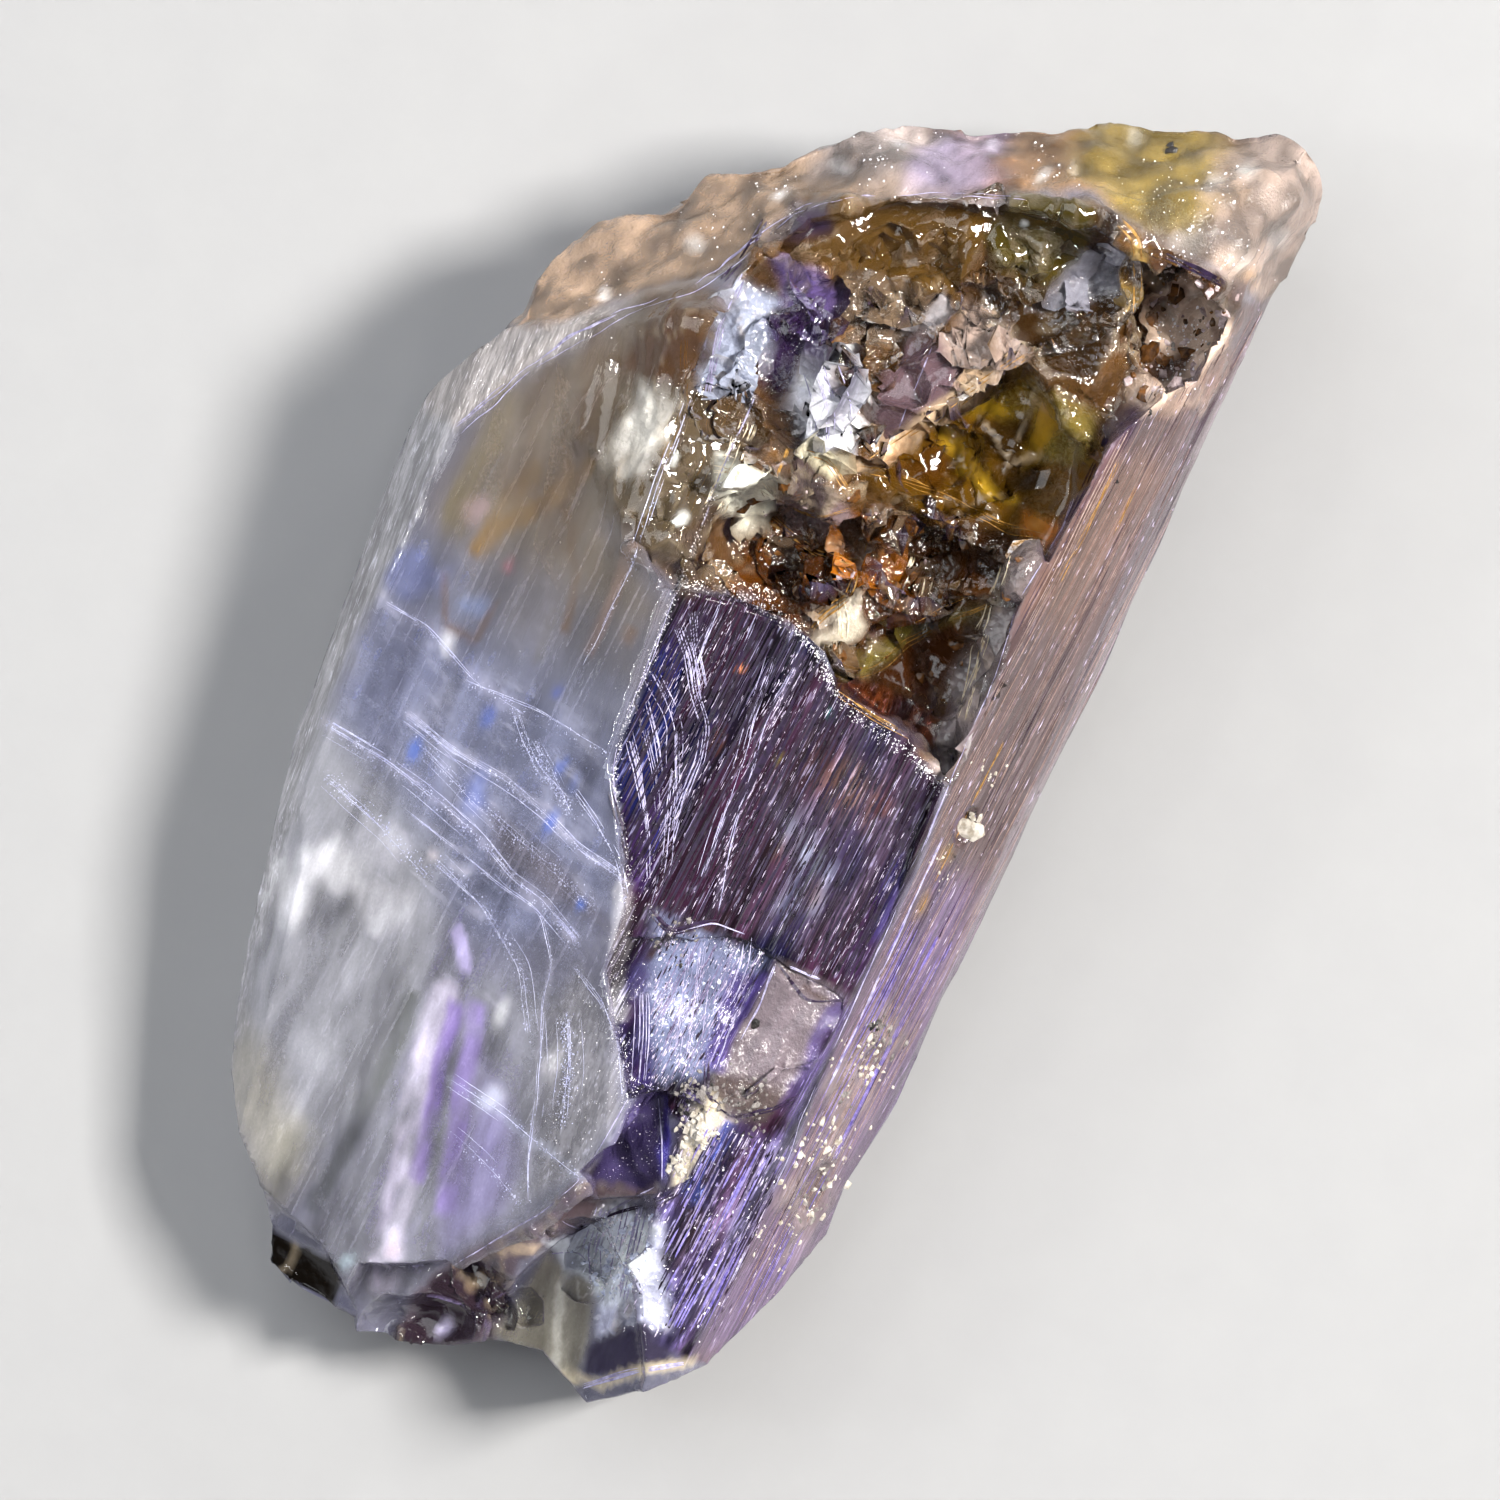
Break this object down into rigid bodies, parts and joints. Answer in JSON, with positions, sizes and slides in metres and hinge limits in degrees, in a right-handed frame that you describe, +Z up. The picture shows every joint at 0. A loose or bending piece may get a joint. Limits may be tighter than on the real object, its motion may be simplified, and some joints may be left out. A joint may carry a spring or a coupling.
{
  "type": "rough tanzanite crystal",
  "caption": "Broken prism of rough tanzanite lying on its flat back, with a clear side, a striated dark violet face and a hackly brown pit.",
  "frame": {"origin": "centre of the bounding box at its lowest point, on the flat back that the crystal rests on", "axes": "+Y along the crystal's length, towards its broken pitted end; +X across it, towards the pink striated face; +Z up, out of the ridge"},
  "size_m": [0.012, 0.024, 0.007],
  "materials": {
    "tanzanite": "see-through blue-violet crystal, glossy on the clean faces, frosted on the worn rims and stained brown in the pit"
  },
  "bodies": {
    "root": {"crystal": "tanzanite"}
  },
  "joints": []
}
